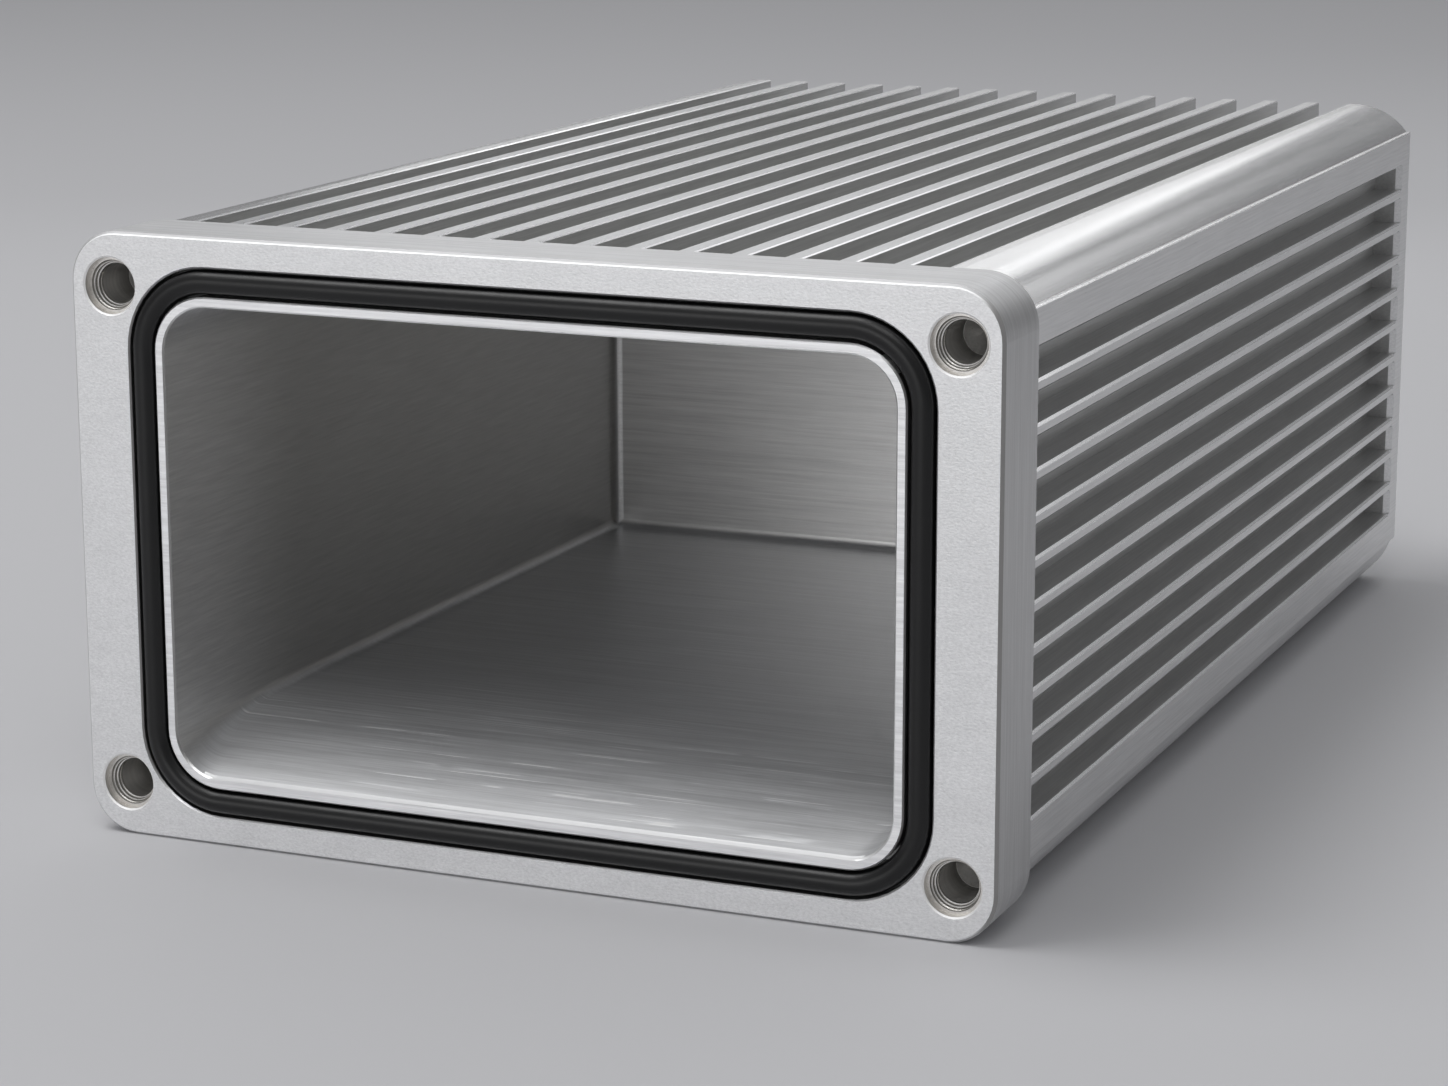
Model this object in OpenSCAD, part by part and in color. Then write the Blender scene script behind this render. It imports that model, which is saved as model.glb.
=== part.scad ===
// Machined aluminium enclosure with a face seal, in millimetres.
// +Z is up, the open front looks along -Y, and the origin is on the base, midway along and across.

/* [Enclosure] */
// Width across the front collar
width = 120; // [118:1:140]
// Height from the base to the top of the fins
height = 76; // [75:1:90]
// Length from the front face to the back
length = 197; // [160:1:240]
// Length of the collar, where the grooves of the top and the sides end
collar_l = 11.6; // [10:0.2:16]
// Corner radius of the collar
collar_r = 6.3; // [5.6:0.1:6.3]
// Chamfer around the front face
face_chamfer = 0.4; // [0.2:0.05:0.6]
// Break on the other front edges
edge_break = 0.2; // [0.1:0.05:0.3]

/* [Long edges] */
// Distance that the sides behind the collar are set in
side_inset = 0.6; // [0.6:0.1:1]
// Width of the step between a rounded edge and the side
step_w = 0.6; // [0.3:0.1:0.8]
// Radius of the two upper long edges
upper_edge_r = 10; // [8:0.2:10.4]
// Drop from the top to the upper step
upper_edge_drop = 4; // [3.9:0.1:4.4]
// Radius of the two lower long edges
lower_edge_r = 8.4; // [7.6:0.2:9]
// Rise from the base to the lower step
lower_edge_rise = 6.9; // [6:0.1:7.4]

/* [Top grooves] */
// Number of grooves in the top
top_groove_n = 15; // [11:1:15]
// Width of a top groove
top_groove_w = 4.5; // [3.6:0.1:4.7]
// Distance from one top groove to the next
top_groove_pitch = 6.7; // [6:0.05:6.7]
// Depth of a top groove
top_groove_h = 5; // [3:0.5:5.5]
// Chamfer along the edges of the top fins
top_fin_chamfer = 0.15; // [0.1:0.05:0.3]

/* [Side grooves] */
// Number of grooves in each side
side_groove_n = 11; // [7:1:11]
// Width of a side groove
side_groove_w = 3.7; // [3:0.1:4.2]
// Distance from one side groove to the next
side_groove_pitch = 5.18; // [5:0.02:5.3]
// Depth of a side groove
side_groove_h = 4; // [2:0.5:5]
// Height of the lowest side groove's lower edge
side_groove_z = 11.7; // [10:0.1:12.2]
// Thickness of the wall that closes the side grooves at the back
end_wall_t = 5.1; // [3:0.1:8]
// Chamfer along the edges of the side fins
side_fin_chamfer = 0.3; // [0.1:0.05:0.4]
// Chamfer across the rear end of each side groove
groove_end_chamfer = 0.9; // [0.5:0.1:1.2]

/* [Pocket] */
// Wall beside the mouth
mouth_side_t = 12.7; // [12.2:0.1:16]
// Wall above the mouth
mouth_top_t = 8.6; // [8.4:0.1:12]
// Wall below the mouth
mouth_base_t = 8.45; // [8.2:0.05:12]
// Corner radius of the mouth
mouth_r = 5.8; // [5.2:0.1:7]
// Depth from the front face to the back wall
pocket_l = 130; // [90:1:140]
// Rise of the floor behind the mouth
floor_rise = 5; // [3:0.5:5.5]
// Length over which the floor rises
sweep_l = 24; // [16:1:40]
// Radius at the foot of the pocket's walls and in its back corners
pocket_fillet = 1.25; // [0.5:0.25:2]

/* [Seal] */
// Thickness of the lip between the mouth and the seal's groove
lip_t = 1.3; // [1:0.1:1.4]
// Width of the seal's groove
seal_groove_w = 3.5; // [3.4:0.1:3.6]
// Diameter of the seal's cord
cord_d = 3; // [2.6:0.1:3.1]
// Height of the seal above the face
seal_proud = 0.6; // [0.4:0.1:0.8]

/* [Cover holes] */
// Distance from a hole to the collar's side
hole_side = 5.4; // [5:0.1:5.6]
// Distance from a hole to the collar's top or base
hole_end = 6.7; // [6.2:0.1:7]
// Diameter of a hole's rim
rim_d = 7.4; // [7.2:0.1:7.6]
// Diameter of the plain recess at the mouth of a hole
recess_d = 7; // [6.8:0.1:7]
// Depth of the recess
recess_l = 1; // [0.6:0.1:1.4]
// Diameter where the lead-in cone starts
lead_in_d = 6.2; // [5.8:0.1:6.6]
// Depth where the lead-in cone ends
lead_in_l = 2.6; // [2:0.1:3]
// Diameter of the bore, which is the core of the thread
bore_d = 5; // [4.6:0.1:5.2]
// Depth of the bore
bore_l = 8.5; // [7:0.5:10]
// Angle of the drilled point at the bottom
point_angle = 118; // [90:2:140]

/* [Hidden] */
$fn = 96;
over = 1;

// The front face, placed so that the body and the seal together are centred on the origin
face_y = (seal_proud - length) / 2;
mid_z = height / 2;

mouth_w = width - 2 * mouth_side_t;
mouth_h = height - mouth_top_t - mouth_base_t;
mouth_z = mouth_base_t + mouth_h / 2;
floor_z = mouth_base_t + floor_rise;
sweep_r = (sweep_l * sweep_l + floor_rise * floor_rise) / (2 * floor_rise);
sweep_angle = asin(sweep_l / sweep_r);

seal_groove_l = cord_d - seal_proud;
lip_r = mouth_r + lip_t;
seal_r = lip_r + seal_groove_w / 2;
groove_r = lip_r + seal_groove_w;

side_x = width / 2 - side_inset;
top_groove_span = (top_groove_n - 1) * top_groove_pitch;

metal = [0.78, 0.79, 0.8];
rubber = [0.07, 0.07, 0.075];

// Extrudes a profile drawn in X and Z from the front face towards the back
module from_face(start, l) {
    translate([0, start + l, 0]) rotate([90, 0, 0]) linear_extrude(l) children();
}

// Extrudes a profile drawn in Y and Z across the width
module across(w) {
    rotate([90, 0, 90]) linear_extrude(w, center = true) children();
}

// A rounded plate behind the plane y = 0. Its outline is wider there by flare,
// or narrower where flare is negative, and reaches full size at that same depth.
module round_plate(w, h, r, l, flare, lead = 0) {
    bevel = abs(flare);
    for (x = [-1, 1], z = [-1, 1])
        translate([x * (w / 2 - r), 0, z * (h / 2 - r)]) rotate([-90, 0, 0]) rotate_extrude()
            polygon([[0, -lead], [r + flare, -lead], [r + flare, 0], [r, bevel], [r, l], [0, l]]);
    linear_extrude(h - 2 * r, center = true) polygon(bevelled_side(w / 2, l, flare, lead));
    across(w - 2 * r) polygon([for (p = bevelled_side(h / 2, l, flare, lead)) [p[1], p[0]]]);
}

function bevelled_side(half, l, flare, lead) = [
    [-half - flare, -lead], [half + flare, -lead], [half + flare, 0], [half, abs(flare)],
    [half, l], [-half, l], [-half, abs(flare)], [-half - flare, 0]
];

// What a rounded long edge takes off the corner at (half width, 0), seen from the front
module edge_cut(r, h) {
    centre_x = side_x - step_w - sqrt(r * r - (r - h) * (r - h));
    difference() {
        translate([centre_x, -over]) square([side_x + over - centre_x, h + over]);
        translate([centre_x, r]) circle(r, $fn = 180);
    }
}

// Section of the length behind the collar
module barrel_section() {
    difference() {
        translate([-side_x, 0]) square([2 * side_x, height]);
        for (side = [0, 1]) mirror([side, 0]) {
            edge_cut(lower_edge_r, lower_edge_rise);
            translate([0, height]) mirror([0, 1]) edge_cut(upper_edge_r, upper_edge_drop);
        }
    }
}

// Section of a groove cut down from y = 0, with the fins' edges chamfered
module groove_section(w, h, c) {
    polygon([
        [-w / 2 - c - over, over], [w / 2 + c + over, over], [w / 2, -c], [w / 2, -h], [-w / 2, -h], [-w / 2, -c]
    ]);
}

module top_grooves() {
    for (i = [0 : top_groove_n - 1])
        translate([i * top_groove_pitch - top_groove_span / 2, 0, height])
            from_face(collar_l, length - collar_l + over) groove_section(top_groove_w, top_groove_h, top_fin_chamfer);
}

// Plan view of the chamfer across the rear end of a side groove, with the side face at x = 0
module groove_end_plan() {
    c = groove_end_chamfer;
    polygon([[-c, 0], [-c, -over], [over, -over], [over, c + over]]);
}

module side_grooves() {
    for (side = [0, 1], i = [0 : side_groove_n - 1])
        mirror([side, 0, 0])
            translate([side_x, 0, side_groove_z + side_groove_w / 2 + i * side_groove_pitch]) {
                from_face(collar_l, length - collar_l - end_wall_t)
                    rotate(-90) groove_section(side_groove_w, side_groove_h, side_fin_chamfer);
                translate([0, length - end_wall_t, 0])
                    linear_extrude(side_groove_w, center = true) groove_end_plan();
            }
}

// Side view of the pocket: back wall, ceiling, and a floor that drops to the mouth in one long curve
module pocket_side_view() {
    difference() {
        translate([-over, 0]) square([pocket_l + over, height]);
        translate([sweep_l, 0]) square([pocket_l, floor_z]);
        intersection() {
            translate([sweep_l, floor_z - sweep_r]) circle(sweep_r, $fn = 240);
            square([sweep_l, floor_z]);
        }
        foot_fillet(pocket_l, floor_z);
    }
}

// A small fillet in the corner at (x, y), on its left and upper sides
module foot_fillet(x, y) {
    r = pocket_fillet;
    difference() {
        translate([x - r, y - over]) square([r + over, r + over]);
        translate([x - r, y + r]) circle(r);
    }
}

// Plan view of the pocket, with fillets where the side walls meet the back wall
module pocket_plan_view() {
    difference() {
        translate([-mouth_w / 2 - over, -over]) square([mouth_w + 2 * over, pocket_l + over]);
        for (side = [0, 1]) mirror([side, 0]) translate([mouth_w / 2, 0]) rotate(90) foot_fillet(pocket_l, 0);
    }
}

// The fillet at the foot of a side wall, straight at the back and then bent down with the floor
module wall_foot() {
    from_face(sweep_l, pocket_l - sweep_l + over) foot_fillet(mouth_w / 2, floor_z);
    translate([0, sweep_l, floor_z - sweep_r]) rotate([90, 0, 90]) rotate(90)
        rotate_extrude(angle = sweep_angle + over) mirror([1, -1]) foot_fillet(mouth_w / 2, sweep_r);
}

module pocket() {
    difference() {
        intersection() {
            translate([0, 0, mouth_z]) round_plate(mouth_w, mouth_h, mouth_r, pocket_l, edge_break, over);
            across(width) pocket_side_view();
            linear_extrude(height) pocket_plan_view();
        }
        for (side = [0, 1]) mirror([side, 0, 0]) wall_foot();
    }
}

module seal_groove() {
    translate([0, 0, mouth_z]) difference() {
        round_plate(mouth_w + 2 * (lip_t + seal_groove_w), mouth_h + 2 * (lip_t + seal_groove_w),
            groove_r, seal_groove_l, edge_break, over);
        round_plate(mouth_w + 2 * lip_t, mouth_h + 2 * lip_t, lip_r, seal_groove_l + over, -edge_break, 2 * over);
    }
}

module cover_hole() {
    rim_l = (rim_d - recess_d) / 2;
    point_l = bore_d / 2 / tan(point_angle / 2);
    rotate([-90, 0, 0]) rotate_extrude() polygon([
        [0, -over], [rim_d / 2 + over, -over], [recess_d / 2, rim_l], [recess_d / 2, recess_l],
        [lead_in_d / 2, recess_l], [bore_d / 2, lead_in_l], [bore_d / 2, bore_l], [0, bore_l + point_l]
    ]);
}

module cover_holes() {
    for (x = [-1, 1], z = [-1, 1])
        translate([x * (width / 2 - hole_side), 0, mid_z + z * (height / 2 - hole_end)]) cover_hole();
}

module enclosure_body() {
    color(metal) translate([0, face_y, 0]) difference() {
        union() {
            translate([0, 0, mid_z]) round_plate(width, height, collar_r, collar_l, -face_chamfer);
            from_face(collar_l / 2, length - collar_l / 2) barrel_section();
        }
        pocket();
        seal_groove();
        cover_holes();
        top_grooves();
        side_grooves();
    }
}

// Centre line of the seal, as quarter turns and straights
module seal_ring() {
    half_w = mouth_w / 2 + lip_t + seal_groove_w / 2 - seal_r;
    half_h = mouth_h / 2 + lip_t + seal_groove_w / 2 - seal_r;
    color(rubber) translate([0, face_y + cord_d / 2 - seal_proud, mouth_z]) rotate([90, 0, 0]) {
        for (side = [0, 1], end = [0, 1]) mirror([side, 0, 0]) mirror([0, end, 0])
            translate([half_w, half_h, 0]) rotate_extrude(angle = 90) translate([seal_r, 0]) circle(cord_d / 2);
        for (side = [-1, 1]) {
            translate([side * (half_w + seal_r), 0, 0]) rotate([90, 0, 0])
                cylinder(2 * half_h, d = cord_d, center = true);
            translate([0, side * (half_h + seal_r), 0]) rotate([0, 90, 0])
                cylinder(2 * half_w, d = cord_d, center = true);
        }
    }
}

enclosure_body();
seal_ring();
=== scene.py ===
import math
import bpy
import bmesh
from mathutils import Matrix, Vector


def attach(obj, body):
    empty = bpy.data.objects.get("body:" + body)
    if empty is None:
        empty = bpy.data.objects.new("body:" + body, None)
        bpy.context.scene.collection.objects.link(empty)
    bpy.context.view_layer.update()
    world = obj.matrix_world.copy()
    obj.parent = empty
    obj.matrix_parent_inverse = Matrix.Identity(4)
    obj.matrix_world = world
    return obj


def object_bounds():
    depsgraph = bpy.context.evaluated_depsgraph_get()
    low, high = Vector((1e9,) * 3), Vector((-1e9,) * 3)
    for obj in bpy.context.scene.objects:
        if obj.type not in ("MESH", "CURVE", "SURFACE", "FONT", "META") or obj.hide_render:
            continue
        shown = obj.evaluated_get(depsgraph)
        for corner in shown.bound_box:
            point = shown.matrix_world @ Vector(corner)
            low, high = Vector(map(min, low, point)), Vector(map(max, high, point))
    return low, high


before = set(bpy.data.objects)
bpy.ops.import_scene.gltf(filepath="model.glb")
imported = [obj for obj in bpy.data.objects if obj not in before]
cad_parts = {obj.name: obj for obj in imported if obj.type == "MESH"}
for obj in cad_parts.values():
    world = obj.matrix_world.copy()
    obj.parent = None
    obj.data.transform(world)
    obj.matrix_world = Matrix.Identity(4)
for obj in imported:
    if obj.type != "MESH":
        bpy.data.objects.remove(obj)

cad_low, cad_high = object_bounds()
scene = bpy.context.scene
scene.view_settings.view_transform = "Standard"


# The camera stands in front of the open end, a little to the right and above, and
# looks down on the enclosure with a long lens, as in the photograph.
eye = bpy.data.cameras.new("eye")
eye.sensor_width = 36.0
eye.lens = 92.34
eye.clip_start = 0.02
eye.clip_end = 50.0
eye_object = bpy.data.objects.new("eye", eye)
eye_object.location = (0.189305, -0.478990, 0.139151)
eye_object.rotation_euler = (1.346095, 0.001519, 0.403816)
scene.collection.objects.link(eye_object)
scene.camera = eye_object


# The enclosure stands on a plain pale floor, smooth and matt, in soft studio light: a
# wide lamp low at the front left, one above the front, one above the left side, and
# three small cards behind that draw the highlights along the top and its shoulder.
def new_material(name):
    material = bpy.data.materials.new(name)
    material.use_nodes = True
    tree = material.node_tree
    return material, tree, tree.nodes["Principled BSDF"]


def add_node(tree, kind, inputs=(), **settings):
    node = tree.nodes.new(kind)
    for key, value in settings.items():
        setattr(node, key, value)
    for key, value in dict(inputs).items():
        if isinstance(value, bpy.types.NodeSocket):
            tree.links.new(value, node.inputs[key])
        else:
            node.inputs[key].default_value = value
    return node


paper, tree, shader = new_material("pale_floor")
shader.inputs["Base Color"].default_value = (0.55, 0.55, 0.565, 1.0)
shader.inputs["Roughness"].default_value = 0.62
shader.inputs["Specular IOR Level"].default_value = 0.25

floor_radius = 4.5
bm = bmesh.new()
bmesh.ops.create_circle(bm, cap_ends=True, segments=64, radius=floor_radius)
floor_mesh = bpy.data.meshes.new("floor")
bm.to_mesh(floor_mesh)
bm.free()
floor = bpy.data.objects.new("floor", floor_mesh)
floor_mesh.materials.append(paper)
scene.collection.objects.link(floor)

horizon_glow = 0.16
ceiling_glow = 0.38
ceiling_rise = 0.6
world = bpy.data.worlds.new("surround")
world.use_nodes = True
scene.world = world
sky = world.node_tree.nodes["Background"]
sky.inputs["Color"].default_value = (0.975, 0.98, 1.0, 1.0)
heading = add_node(world.node_tree, "ShaderNodeTexCoord").outputs["Generated"]
rising = add_node(world.node_tree, "ShaderNodeSeparateXYZ", {0: heading}).outputs[2]
glow = add_node(world.node_tree, "ShaderNodeMapRange", {
    0: rising, 1: 0.0, 2: ceiling_rise, 3: horizon_glow, 4: ceiling_glow},
    interpolation_type="SMOOTHSTEP").outputs[0]
world.node_tree.links.new(glow, sky.inputs["Strength"])


def hang_lamp(name, place, aim, width, height, power):
    lamp = bpy.data.lights.new(name, "AREA")
    lamp.shape = "RECTANGLE"
    lamp.size = width
    lamp.size_y = height
    lamp.energy = power
    lamp_object = bpy.data.objects.new(name, lamp)
    toward = Vector(aim) - Vector(place)
    lamp_object.location = place
    lamp_object.rotation_euler = toward.to_track_quat("-Z", "Y").to_euler()
    lamp_object.visible_camera = False
    scene.collection.objects.link(lamp_object)


hang_lamp("front_left_lamp", place=(-0.70, -2.25, 0.40), aim=(0.0, -0.05, 0.03),
          width=1.7, height=0.8, power=8.4)
hang_lamp("front_overhead_lamp", place=(0.30, -0.80, 1.30), aim=(0.0, -0.08, 0.03),
          width=0.6, height=0.5, power=2.9)
hang_lamp("overhead_lamp", place=(-0.58, -0.26, 1.60), aim=(0.0, 0.0, 0.0),
          width=0.9, height=0.9, power=13.5)
hang_lamp("back_card_lamp", place=(-0.165, 0.45, 0.215), aim=(0.03, -0.08, 0.076),
          width=0.30, height=0.10, power=0.11)
hang_lamp("back_right_card_lamp", place=(0.26, 0.78, 0.42), aim=(0.05, -0.05, 0.07),
          width=0.30, height=0.12, power=0.12)
hang_lamp("back_high_card_lamp", place=(-0.02, 0.80, 0.46), aim=(0.05, -0.05, 0.07),
          width=0.16, height=0.09, power=0.11)


# The enclosure is one block of aluminium, milled all over and left bare: a fine satin
# grain on the front, brushed lines along the top and sides, and cutter marks inside.
# The grooves and the pocket are rougher and darkened with painted shade; the cut edges carry
# painted highlights and painted shade lines.
def maths(tree, operation, first, second=0.0, third=0.0):
    node = add_node(tree, "ShaderNodeMath", {0: first, 1: second, 2: third}, operation=operation)
    return node.outputs[0]


def overlap(tree, *regions):
    shared = regions[0]
    for region in regions[1:]:
        shared = maths(tree, "MULTIPLY", shared, region)
    return shared


def either(tree, first, second):
    return maths(tree, "MAXIMUM", first, second)


def outside(tree, region):
    return maths(tree, "SUBTRACT", 1.0, region)


def over(tree, value, level):
    return maths(tree, "GREATER_THAN", value, level)


def under(tree, value, level):
    return maths(tree, "LESS_THAN", value, level)


def within(tree, value, low, high):
    return maths(tree, "COMPARE", value, (low + high) / 2, (high - low) / 2)


def ramp(tree, value, start, end, first=0.0, last=1.0):
    node = add_node(tree, "ShaderNodeMapRange", {0: value, 1: start, 2: end, 3: first, 4: last},
                    interpolation_type="SMOOTHSTEP")
    return node.outputs[0]


def contrast(tree, value, gain):
    return maths(tree, "MULTIPLY_ADD", value, gain, 0.5 - gain / 2)


def blend(tree, share, first, second):
    return add_node(tree, "ShaderNodeMix", {0: share, 2: first, 3: second}).outputs[0]


def paint(tree, region, ground, coat):
    layers = [layer if isinstance(layer, bpy.types.NodeSocket) else (*layer, 1.0)
              for layer in (ground, coat)]
    node = add_node(tree, "ShaderNodeMix", {0: region, 6: layers[0], 7: layers[1]},
                    data_type="RGBA")
    return node.outputs[2]


def marks(tree, place, stretch, size, detail, roughness, slant=0.0):
    turned = add_node(tree, "ShaderNodeMapping", {
        "Vector": place, "Rotation": (slant, 0.0, 0.0), "Scale": stretch})
    noise = add_node(tree, "ShaderNodeTexNoise", {
        "Vector": turned.outputs[0], "Scale": 1.0 / size, "Detail": detail,
        "Roughness": roughness})
    return noise.outputs[0]


aluminium, tree, shader = new_material("milled_aluminium")
here = add_node(tree, "ShaderNodeTexCoord").outputs["Object"]
facing = add_node(tree, "ShaderNodeNewGeometry").outputs["Normal"]
across, along, up = add_node(tree, "ShaderNodeSeparateXYZ", {0: here}).outputs
right_on, front_on, rise_on = add_node(tree, "ShaderNodeSeparateXYZ", {0: facing}).outputs
out = maths(tree, "ABSOLUTE", across)
side_on = maths(tree, "ABSOLUTE", right_on)
end_on = maths(tree, "ABSOLUTE", front_on)
top_on = maths(tree, "ABSOLUTE", rise_on)
flat = 0.9
slanted = (0.3, 0.95)

# The limits of each region of the block lie a hair past the faces that it takes in.
hair = 0.0001
seal_proud = 0.0006
front_y = cad_low.y + seal_proud
collar_back_y = front_y + 0.0116
behind_collar = over(tree, along, collar_back_y)

pocket_x = 0.04738
pocket_z = (0.00835, 0.0675)
pocket_y = (front_y + 0.00002, front_y + 0.1301)
in_pocket = overlap(tree, under(tree, out, pocket_x), within(tree, up, *pocket_z),
                    within(tree, along, *pocket_y))

top_fins_x = 0.0496
top_groove_z = (0.0705, 0.07584)
fin_crest_z = (0.07584, 0.0761)
side_groove_x = (0.0553, 0.05905)
side_groove_z = (0.0115, 0.0695)
side_groove_y = (collar_back_y - hair, front_y + 0.19192)
fin_crest_x = (0.05902, 0.05945)
side_fins_z = (0.0110, 0.0690)
in_top_groove = overlap(tree, under(tree, out, top_fins_x), within(tree, up, *top_groove_z),
                        over(tree, along, collar_back_y - hair))
in_side_groove = overlap(tree, within(tree, out, *side_groove_x),
                         within(tree, up, *side_groove_z), within(tree, along, *side_groove_y))
in_groove = either(tree, in_top_groove, in_side_groove)
on_top_fin = overlap(tree, under(tree, out, top_fins_x), within(tree, up, *fin_crest_z))
on_side_fin = overlap(tree, within(tree, out, *fin_crest_x), within(tree, up, *side_fins_z))
on_fin = either(tree, on_top_fin, on_side_fin)
fin_top = overlap(tree, on_fin, behind_collar, over(tree, top_on, flat))

face_edge_y = (front_y - hair, front_y + 0.0005)
on_face_edge = overlap(tree, within(tree, end_on, *slanted), within(tree, along, *face_edge_y))
on_fin_edge = overlap(tree, on_fin, behind_collar, within(tree, side_on, *slanted),
                      within(tree, top_on, *slanted))
cut_edge = either(tree, on_face_edge, on_fin_edge)

shelf_x = (0.0592, 0.0595)
shelf_z = (0.07180, 0.07205)
shoulder = overlap(tree, behind_collar, over(tree, up, shelf_z[1]),
                   over(tree, out, top_fins_x))
shelf_edge = overlap(tree, behind_collar, within(tree, out, *shelf_x),
                     within(tree, up, *shelf_z))

half_height = 0.038
hole_x = 0.0546
hole_rise = 0.0313
recess_r = 0.00352
rim_r = 0.00375
bore_r = 0.0025
lead_in_r = 0.0031
recess_y = front_y + 0.0010
lead_in_y = front_y + 0.0026
drilled_y = (front_y + 0.00021, front_y + 0.0105)
bore_y = front_y + 0.00262
point_y = front_y + 0.00851
threaded_y = (front_y + 0.00102, lead_in_y)
seat_y = (front_y + 0.00095, threaded_y[0])
from_hole_x = maths(tree, "SUBTRACT", out, hole_x)
from_middle = maths(tree, "ABSOLUTE", maths(tree, "SUBTRACT", up, half_height))
from_hole_z = maths(tree, "SUBTRACT", from_middle, hole_rise)
from_hole = add_node(tree, "ShaderNodeVectorMath", {
    0: add_node(tree, "ShaderNodeCombineXYZ", {0: from_hole_x, 2: from_hole_z}).outputs[0]},
    operation="LENGTH").outputs["Value"]
in_hole = overlap(tree, under(tree, from_hole, recess_r), within(tree, along, *drilled_y))
in_bore = overlap(tree, in_hole, over(tree, along, bore_y))
on_drill_point = overlap(tree, in_hole, over(tree, along, point_y))
thread_seat = overlap(tree, in_hole, within(tree, along, *seat_y))
hole_rim = overlap(tree, on_face_edge, under(tree, from_hole, rim_r))

lead_in = add_node(tree, "ShaderNodeMapRange", {
    0: along, 1: recess_y, 2: lead_in_y, 3: lead_in_r, 4: bore_r}).outputs[0]
thread_height = maths(tree, "SUBTRACT", lead_in, from_hole)
in_thread = overlap(tree, in_hole, within(tree, along, *threaded_y))
thread_root = overlap(tree, in_thread, ramp(tree, thread_height, 0.00002, 0.00008, 1.0, 0.0))
thread_crest = overlap(tree, in_thread, ramp(tree, thread_height, 0.00007, 0.00011))

seal_groove_x = 0.0530
seal_groove_z = (0.0034, 0.0726)
seal_groove_y = (front_y + 0.0003, front_y + 0.0050)
lip_x = 0.0487
lip_z = (0.0071, 0.0688)
lip_y = (front_y - hair, front_y + hair)
inner_edge_z = (0.0033, 0.0727)
sill_y = (front_y, front_y + 0.0007)
sill_top_z = 0.020
in_seal_groove = overlap(tree, outside(tree, in_pocket), under(tree, out, seal_groove_x),
                         within(tree, up, *seal_groove_z), within(tree, along, *seal_groove_y),
                         over(tree, from_hole, rim_r + 0.00005))
inner_edge = overlap(tree, on_face_edge, under(tree, out, seal_groove_x),
                     within(tree, up, *inner_edge_z), over(tree, from_hole, rim_r + 0.00015))
on_lip = overlap(tree, under(tree, out, lip_x), within(tree, up, *lip_z),
                 within(tree, along, *lip_y), over(tree, end_on, flat))
sill = overlap(tree, in_pocket, within(tree, along, *sill_y), over(tree, top_on, flat),
               under(tree, up, sill_top_z))

grain = marks(tree, here, (0.55, 1.0, 1.0), size=0.00024, detail=3.0, roughness=0.7)
long_lines = marks(tree, here, (1.0, 0.02, 1.0), size=0.00028, detail=4.0, roughness=0.7)
cross_lines = marks(tree, here, (0.025, 1.0, 1.0), size=0.00040, detail=4.0, roughness=0.65)
depth_lines = marks(tree, here, (0.025, 1.0, 0.025), size=0.00050, detail=4.0, roughness=0.7)
slant_lines = marks(tree, here, (1.0, 0.05, 1.0), size=0.00045, detail=4.0, roughness=0.65,
                    slant=math.radians(24))
cloud = marks(tree, here, (1.0, 0.5, 1.0), size=0.012, detail=3.0, roughness=0.55)
streaks = marks(tree, here, (0.25, 0.5, 1.0), size=0.0011, detail=3.0, roughness=0.6)
strokes = marks(tree, here, (0.012, 1.0, 0.012), size=0.00050, detail=1.0, roughness=0.5)
patches = marks(tree, here, (0.6, 2.0, 1.0), size=0.006, detail=2.0, roughness=0.5)
cutter_steps = overlap(tree, ramp(tree, strokes, 0.62, 0.68), ramp(tree, patches, 0.45, 0.58),
                       ramp(tree, along, front_y + 0.012, front_y + 0.045, 1.0, 0.15))

on_end = over(tree, end_on, 0.8)
brushed = contrast(tree, blend(tree, behind_collar, depth_lines, long_lines), 1.6)
brushed = blend(tree, shoulder, brushed, contrast(tree, brushed, 0.35))
satin = maths(tree, "MULTIPLY_ADD", maths(tree, "SUBTRACT", streaks, 0.5), 0.35,
              contrast(tree, grain, 1.5))
outer = blend(tree, on_end, brushed, satin)
outer = blend(tree, on_lip, outer, contrast(tree, cross_lines, 2.0))
inner_wall = ramp(tree, side_on, 0.45, 0.99)
floor_marks = maths(tree, "MULTIPLY_ADD", cutter_steps, 0.40, depth_lines)
inner = blend(tree, inner_wall, floor_marks, slant_lines)
inner = contrast(tree, blend(tree, on_end, inner, cross_lines), 1.5)
surface = blend(tree, in_pocket, outer, inner)
surface = blend(tree, cut_edge, surface, 0.5)

# Faces turned to the side get painted shade: darker than those facing up or to the front, and
# darker still on the collar.
side_painted_shade = paint(tree, behind_collar, (0.62, 0.62, 0.622), (0.75, 0.75, 0.752))
colour = paint(tree, ramp(tree, side_on, 0.45, 0.98), (0.81, 0.812, 0.818), side_painted_shade)
# The fin tops get painted shade that grows towards the rear, darker there than at the front.
fin_top_painted_fade = paint(tree, ramp(tree, along, collar_back_y, front_y + 0.130),
                   (0.70, 0.705, 0.712), (0.58, 0.582, 0.585))
colour = paint(tree, fin_top, colour, fin_top_painted_fade)
# The shoulder's lower part, where it turns down to the side, gets painted shade.
painted_shoulder_shade = overlap(tree, shoulder, ramp(tree, side_on, 0.20, 0.70))
colour = paint(tree, painted_shoulder_shade, colour, (0.62, 0.622, 0.628))
colour = paint(tree, on_lip, colour, (0.90, 0.903, 0.91))
# The grooves are painted darker: painted shade in the hollows.
colour = paint(tree, in_groove, colour, (0.65, 0.65, 0.645))

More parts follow.
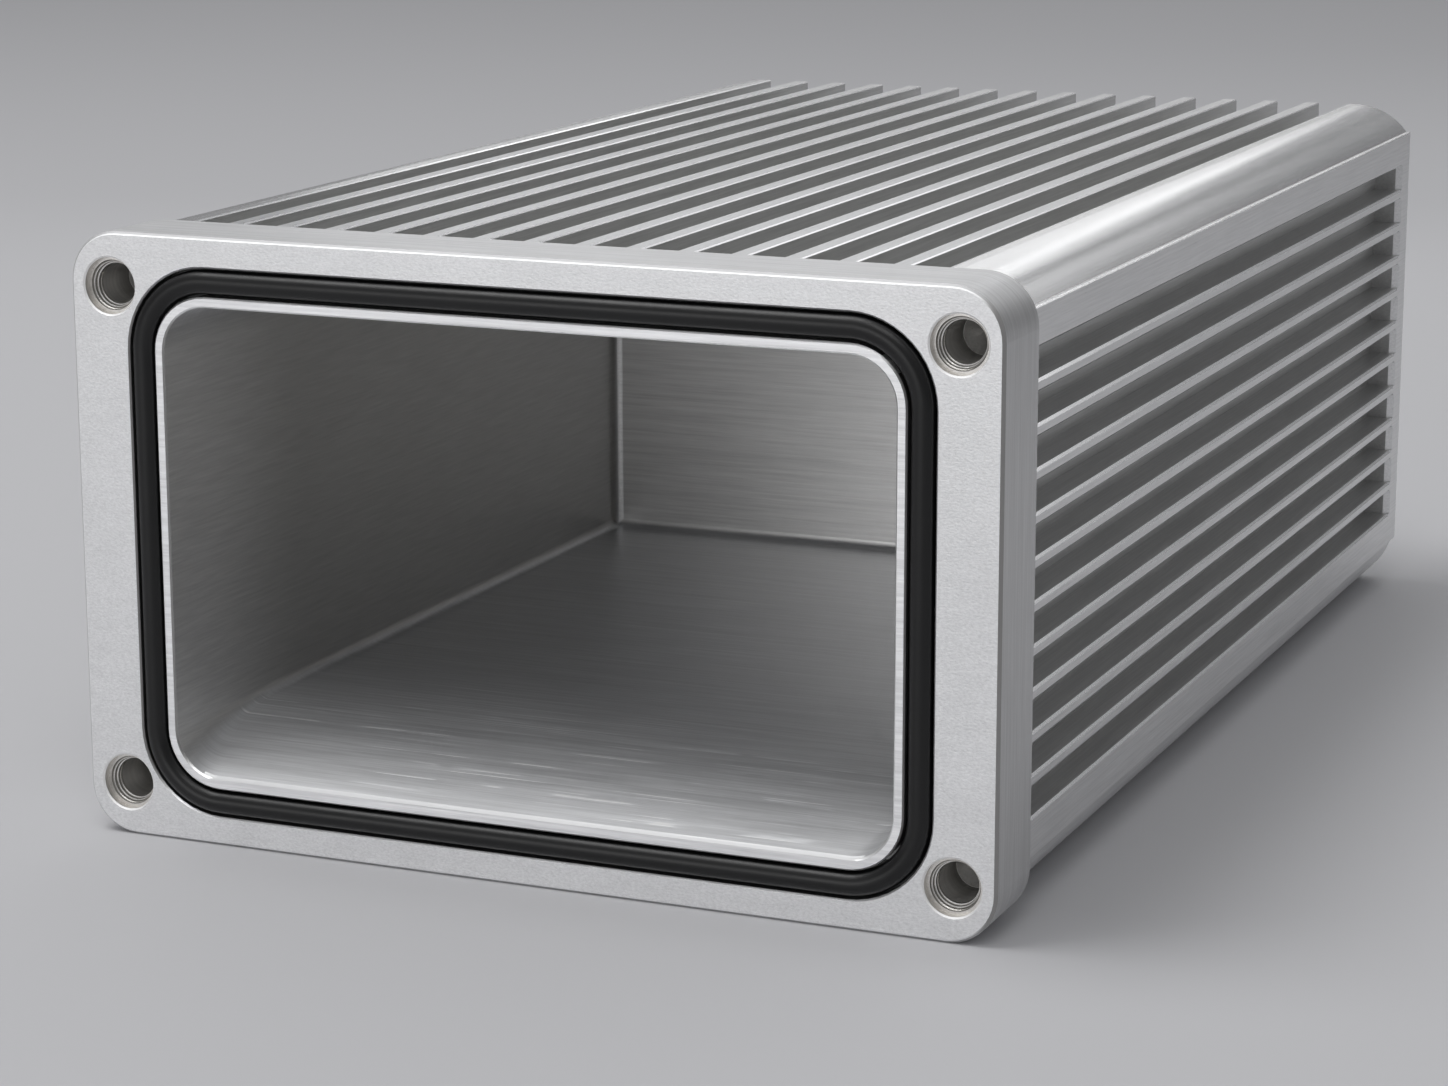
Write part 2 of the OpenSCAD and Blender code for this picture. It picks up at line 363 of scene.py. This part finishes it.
# Inside the pocket the side walls get painted shade, darker deeper in; the floor and roof keep a
# plain colour and the back wall is lighter.
pocket_colour_and_shade = paint(tree, ramp(tree, along, front_y, front_y + 0.035),
                     (0.80, 0.795, 0.785), (0.48, 0.475, 0.46))
pocket_colour_and_shade = paint(tree, inner_wall, (0.82, 0.825, 0.835), pocket_colour_and_shade)
pocket_colour_and_shade = paint(tree, on_end, pocket_colour_and_shade, (0.90, 0.895, 0.885))
colour = paint(tree, in_pocket, colour, pocket_colour_and_shade)

# In the tapped holes the thread roots and the drill's point are painted dark as painted shade,
# and the thread crests bright as a painted highlight.
hole_colour_and_painted_light = paint(tree, thread_root, (0.76, 0.735, 0.70), (0.42, 0.405, 0.38))
hole_colour_and_painted_light = paint(tree, thread_crest, hole_colour_and_painted_light, (0.97, 0.96, 0.94))
hole_colour_and_painted_light = paint(tree, thread_seat, hole_colour_and_painted_light, (0.74, 0.72, 0.69))
hole_colour_and_painted_light = paint(tree, in_bore, hole_colour_and_painted_light, (0.80, 0.79, 0.77))
hole_colour_and_painted_light = paint(tree, on_drill_point, hole_colour_and_painted_light, (0.26, 0.255, 0.245))
colour = paint(tree, in_hole, colour, hole_colour_and_painted_light)

# The cut edges are painted light: a bright painted highlight along the front's chamfers with a
# dark painted shade line behind it, darker still where a chamfer faces right, and bright painted
# highlights on the fin edges, the seal groove's edges, the hole rims, the shelf edge and the
# pocket's sill.
painted_edge_highlight = (0.97, 0.975, 0.98)
edge_painted_light = paint(tree, ramp(tree, along, front_y + 0.00010, front_y + 0.00018),
                    (0.96, 0.965, 0.97), (0.60, 0.60, 0.605))
edge_painted_light = paint(tree, inner_edge, edge_painted_light, painted_edge_highlight)
edge_painted_light = paint(tree, ramp(tree, right_on, 0.35, 0.65), edge_painted_light, (0.40, 0.395, 0.39))
edge_painted_light = paint(tree, on_face_edge, (0.94, 0.945, 0.955), edge_painted_light)
colour = paint(tree, cut_edge, colour, edge_painted_light)
colour = paint(tree, hole_rim, colour, (1.0, 1.0, 1.0))
colour = paint(tree, either(tree, shelf_edge, sill), colour, painted_edge_highlight)
# The seal's groove is painted dark: painted shade in the gaps beside the ring.
colour = paint(tree, in_seal_groove, colour, (0.20, 0.20, 0.20))

shade = overlap(tree, maths(tree, "MULTIPLY_ADD", cloud, 0.10, 0.95),
                maths(tree, "MULTIPLY_ADD", surface, 0.36, 0.82))
tinted = add_node(tree, "ShaderNodeVectorMath", {0: colour, "Scale": shade}, operation="SCALE")
tree.links.new(tinted.outputs[0], shader.inputs["Base Color"])
shader.inputs["Metallic"].default_value = 0.9

drawn = overlap(tree, outside(tree, on_end), outside(tree, in_pocket))
near_mouth = overlap(tree, in_pocket, ramp(tree, along, front_y, front_y + 0.055, 1.0, 0.0),
                     ramp(tree, top_on, 0.1, 0.95))
dullness = maths(tree, "MULTIPLY_ADD", surface, 0.16, 0.32)
for region, change in ((drawn, blend(tree, behind_collar, 0.08, -0.07)),
                       (shoulder, -0.08),
                       (in_groove, 0.10),
                       (near_mouth, 0.16),
                       (cut_edge, -0.14),
                       (on_face_edge, 0.34),
                       (inner_edge, -0.26),
                       (shelf_edge, -0.12),
                       (sill, -0.10),
                       (in_hole, -0.08)):
    dullness = maths(tree, "MULTIPLY_ADD", region, change, dullness)
tree.links.new(dullness, shader.inputs["Roughness"])

lean = add_node(tree, "ShaderNodeCombineXYZ", {
    1: maths(tree, "MULTIPLY", sill, -1.0), 2: shelf_edge}).outputs[0]
leaning = add_node(tree, "ShaderNodeVectorMath", {0: facing, 1: lean}, operation="ADD")
rounded = add_node(tree, "ShaderNodeVectorMath", {0: leaning.outputs[0]}, operation="NORMALIZE")
relief = add_node(tree, "ShaderNodeBump", {
    "Strength": 0.9, "Distance": 0.000018, "Height": surface, "Normal": rounded.outputs[0]})
tree.links.new(relief.outputs[0], shader.inputs["Normal"])

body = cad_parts["enclosure_body"]
body.material_slots[0].material = aluminium


# In the two lower corners of the pocket's mouth the ball-nosed cutter leaves a rounded
# corner, as wide as the mouth's own at the front and down to the wall's foot 24 mm in.
# It is the same metal as the block.
wall_x = -0.0473
floor_z = 0.01345
foot_drop_r = 0.0601
foot_end = 0.024
foot_start = 0.00025
corner_r = 0.0058
corner_growth = 0.00045
buried = 0.0008
arc_steps = 24
rings = 30


def foot_height(depth):
    return floor_z - foot_drop_r + math.sqrt(foot_drop_r ** 2 - (foot_end - depth) ** 2)


def foot_radius(depth):
    risen = foot_height(depth) - foot_height(0.0)
    return corner_r + corner_growth * depth / foot_end - risen


depths = [foot_start + (foot_end - foot_start) * ring / rings for ring in range(rings + 1)]
for name, hand in (("mouth_corner_left", 1.0), ("mouth_corner_right", -1.0)):
    bm = bmesh.new()
    start_y = front_y + foot_start
    radius = foot_radius(foot_start)
    centre_z = foot_height(foot_start) + radius
    tangent = bm.verts.new((wall_x, start_y, centre_z))
    sunk = bm.verts.new((wall_x - buried, start_y, centre_z))
    bmesh.ops.spin(bm, geom=[bm.edges.new((sunk, tangent))],
                   cent=(wall_x + radius, start_y, centre_z), axis=(0.0, 1.0, 0.0),
                   angle=-math.pi / 2, steps=arc_steps, use_duplicate=False)
    section = [*bm.faces, *bm.edges, *bm.verts]
    for before, after in zip(depths, depths[1:]):
        section = bmesh.ops.extrude_face_region(bm, geom=section)["geom"]
        ring = [part for part in section if isinstance(part, bmesh.types.BMVert)]
        foot = Vector((wall_x, front_y + before, foot_height(before)))
        share = foot_radius(after) / foot_radius(before)
        bmesh.ops.scale(bm, vec=(share, 1.0, share), space=Matrix.Translation(-foot), verts=ring)
        bmesh.ops.translate(bm, verts=ring,
                            vec=(0.0, after - before, foot_height(after) - foot_height(before)))
    bmesh.ops.scale(bm, vec=(hand, 1.0, 1.0), verts=bm.verts)
    bmesh.ops.recalc_face_normals(bm, faces=bm.faces)
    corner_mesh = bpy.data.meshes.new(name)
    bm.to_mesh(corner_mesh)
    bm.free()
    corner_mesh.shade_smooth()
    corner_mesh.set_sharp_from_angle(angle=math.radians(40))
    mouth_corner = bpy.data.objects.new(name, corner_mesh)
    corner_mesh.materials.append(aluminium)
    scene.collection.objects.link(mouth_corner)
    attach(mouth_corner, "root")


# The four corner holes are tapped for screws. The first turns of the thread are cut away
# by the lead-in cone, so each turn stands a little further in than the one before it.
pitch = 0.0005
turns = 2.6
steps = 48
thread_start = 0.00112
root_r = 0.0031
flank_r = 0.0029
crest_r = 0.0027
root_half = 0.00015
crest_half = 0.00003
cone_r = 0.00309
cone_slope = 0.375
first_height = 0.00013
height_gain = 0.045
run_out = 0.35

for name, place_x, place_z in (("thread_bottom_left", -0.0546, 0.0067),
                               ("thread_bottom_right", 0.0546, 0.0067),
                               ("thread_top_left", -0.0546, 0.0693),
                               ("thread_top_right", 0.0546, 0.0693)):
    bm = bmesh.new()
    corners = [bm.verts.new((radius, offset, 0.0)) for radius, offset in (
        (root_r, -root_half), (crest_r, -crest_half), (crest_r, crest_half), (root_r, root_half))]
    section = bm.faces.new(corners)
    bmesh.ops.spin(bm, geom=[section, *section.edges, *section.verts], cent=(0.0, 0.0, 0.0),
                   axis=(0.0, 1.0, 0.0), dvec=(0.0, pitch / steps, 0.0),
                   angle=2 * math.pi * turns, steps=int(steps * turns), use_duplicate=False)
    for corner in bm.verts:
        radius = math.hypot(corner.co.x, corner.co.z)
        wanted = cone_r - cone_slope * corner.co.y
        if radius < flank_r:
            turned = corner.co.y / pitch
            share = max(0.0, min(1.0, turned / run_out, (turns - turned) / run_out))
            wanted -= (first_height + height_gain * corner.co.y) * share
        corner.co.x *= wanted / radius
        corner.co.z *= wanted / radius
    bmesh.ops.recalc_face_normals(bm, faces=bm.faces)
    bmesh.ops.translate(bm, verts=bm.verts, vec=(place_x, front_y + thread_start, place_z))
    thread_mesh = bpy.data.meshes.new(name)
    bm.to_mesh(thread_mesh)
    bm.free()
    thread = bpy.data.objects.new(name, thread_mesh)
    thread_mesh.materials.append(aluminium)
    scene.collection.objects.link(thread)
    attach(thread, "root")


# The seal is one moulded ring of black rubber cord, pressed into its groove. Its skin is
# finely pored, with a faint bloom that makes it greyer and duller in places.
rubber, tree, shader = new_material("black_rubber")
here = add_node(tree, "ShaderNodeTexCoord").outputs["Object"]
bloom = marks(tree, here, (1.0, 1.0, 1.0), size=0.004, detail=3.0, roughness=0.6)
skin = marks(tree, here, (1.0, 1.0, 1.0), size=0.00025, detail=3.0, roughness=0.6)
tone = paint(tree, bloom, (0.0020, 0.0020, 0.0022), (0.0048, 0.0048, 0.0052))
tree.links.new(tone, shader.inputs["Base Color"])
matt = maths(tree, "MULTIPLY_ADD", bloom, 0.12, 0.25)
tree.links.new(maths(tree, "MULTIPLY_ADD", skin, 0.10, matt), shader.inputs["Roughness"])
shader.inputs["Specular IOR Level"].default_value = 0.42
pores = add_node(tree, "ShaderNodeBump", {"Strength": 0.6, "Distance": 0.00001, "Height": skin})
tree.links.new(pores.outputs[0], shader.inputs["Normal"])
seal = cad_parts["seal_ring"]
seal.material_slots[0].material = rubber
